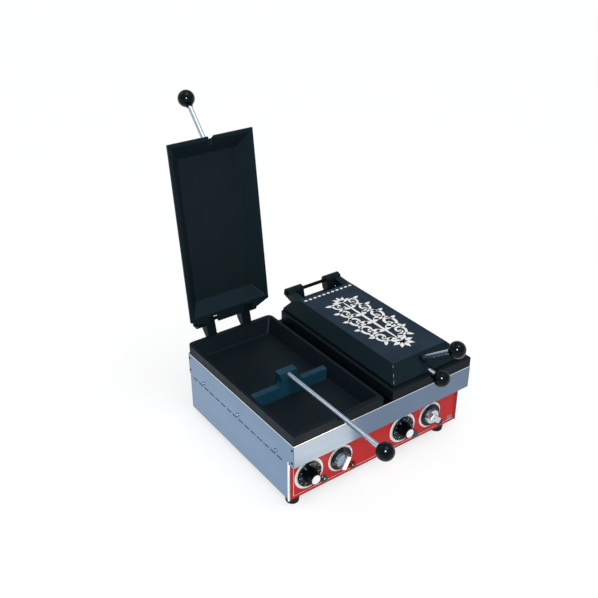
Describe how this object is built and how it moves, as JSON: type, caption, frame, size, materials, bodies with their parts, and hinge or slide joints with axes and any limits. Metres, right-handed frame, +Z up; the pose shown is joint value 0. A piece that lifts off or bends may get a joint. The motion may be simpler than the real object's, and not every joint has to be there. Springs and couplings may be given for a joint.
{
  "type": "twin pan baking machine",
  "caption": "Counter-top electric twin baker: a low steel case with two deep rectangular pans, hinged pyramid lids and sliding scrapers, one lid open.",
  "frame": {"origin": "middle of the overall box in plan, on the surface that the feet stand on", "axes": "+Z up, +Y towards the hinged back, +X to the right seen from the controls"},
  "size_m": [0.454, 0.681, 0.6706],
  "materials": {
    "stainless_steel": "brushed",
    "red_enamel": "gloss",
    "grey_plate": "satin",
    "foot_rubber": "matt",
    "zinc_steel": "satin",
    "dark_steel": "satin",
    "white_plastic": "gloss",
    "green_lens": "gloss",
    "red_lens": "gloss",
    "black_moulding": "matt",
    "white_ceramic": "matt",
    "cast_iron": "seasoned satin",
    "scraper_iron": "satin",
    "element_sheath": "oxidised",
    "polished_steel": "polished",
    "chrome_plate": "polished",
    "black_phenolic": "gloss"
  },
  "bodies": {
    "housing": {"top_tray": "stainless_steel", "left_side_panel": "stainless_steel", "right_side_panel": "stainless_steel", "rear_panel": "stainless_steel", "base_plate": "stainless_steel", "control_panel": "red_enamel", "blank_plate": "grey_plate", "feet": "foot_rubber", "foot_bolts": "zinc_steel", "side_screws": "zinc_steel", "corner_rivets": "stainless_steel", "scale_rings": "white_plastic", "control_nuts": "zinc_steel", "green_lamps": "green_lens", "red_lamps": "red_lens", "lamp_nuts": "zinc_steel", "pan_studs": "zinc_steel", "pan_nuts": "zinc_steel", "hinge_pins": "dark_steel", "pin_rings": "dark_steel", "cable_gland": "black_moulding", "gland_nut": "black_moulding", "terminal_block": "white_ceramic", "left_pan": "cast_iron", "left_heating_element": "element_sheath", "left_clamp_plate": "zinc_steel", "left_heat_shield": "stainless_steel", "left_thermostat": "black_moulding", "left_switch": "black_moulding", "right_pan": "cast_iron", "right_heating_element": "element_sheath", "right_clamp_plate": "zinc_steel", "right_heat_shield": "stainless_steel", "right_thermostat": "black_moulding", "right_switch": "black_moulding"},
    "left_lid": {"left_lid": "cast_iron", "left_handle_rod": "polished_steel", "left_handle_ball": "black_phenolic"},
    "left_scraper": {"left_scraper_blade": "scraper_iron", "left_scraper_rod": "polished_steel", "left_scraper_ball": "black_phenolic"},
    "left_dial": {"left_dial_knob": "black_phenolic", "left_dial_cap": "white_plastic", "left_dial_shaft": "zinc_steel"},
    "left_selector": {"left_switch_skirt": "black_phenolic", "left_switch_grip": "chrome_plate", "left_switch_shaft": "zinc_steel"},
    "right_lid": {"right_lid": "cast_iron", "right_handle_rod": "polished_steel", "right_handle_ball": "black_phenolic"},
    "right_scraper": {"right_scraper_blade": "scraper_iron", "right_scraper_rod": "polished_steel", "right_scraper_ball": "black_phenolic"},
    "right_dial": {"right_dial_knob": "black_phenolic", "right_dial_cap": "white_plastic", "right_dial_shaft": "zinc_steel"},
    "right_selector": {"right_switch_skirt": "black_phenolic", "right_switch_grip": "chrome_plate", "right_switch_shaft": "zinc_steel"}
  },
  "joints": [
    {"name": "left_lid_hinge", "type": "hinge", "parent": "housing", "child": "left_lid", "pos_m": [-0.11825, 0.20845, 0.2045], "axis": [-1, 0, 0], "range_deg": [-97, 0]},
    {"name": "left_scraper_slide", "type": "slide", "parent": "housing", "child": "left_scraper", "axis": [0, 1, 0], "range_m": [-0.105, 0.104]},
    {"name": "left_dial_turn", "type": "hinge", "parent": "housing", "child": "left_dial", "pos_m": [-0.17775, -0.19655, 0.0605], "axis": [0, 1, 0], "range_deg": [0, 270]},
    {"name": "left_selector_turn", "type": "hinge", "parent": "housing", "child": "left_selector", "pos_m": [-0.10175, -0.19655, 0.0605], "axis": [0, 1, 0], "range_deg": [-90, 90]},
    {"name": "right_lid_hinge", "type": "hinge", "parent": "housing", "child": "right_lid", "pos_m": [0.11825, 0.20845, 0.2045], "axis": [-1, 0, 0], "range_deg": [0, 97]},
    {"name": "right_scraper_slide", "type": "slide", "parent": "housing", "child": "right_scraper", "axis": [0, 1, 0], "range_m": [-0.209, 0]},
    {"name": "right_dial_turn", "type": "hinge", "parent": "housing", "child": "right_dial", "pos_m": [0.05875, -0.19655, 0.0605], "axis": [0, 1, 0], "range_deg": [0, 270]},
    {"name": "right_selector_turn", "type": "hinge", "parent": "housing", "child": "right_selector", "pos_m": [0.13475, -0.19655, 0.0605], "axis": [0, 1, 0], "range_deg": [-90, 90]}
  ]
}
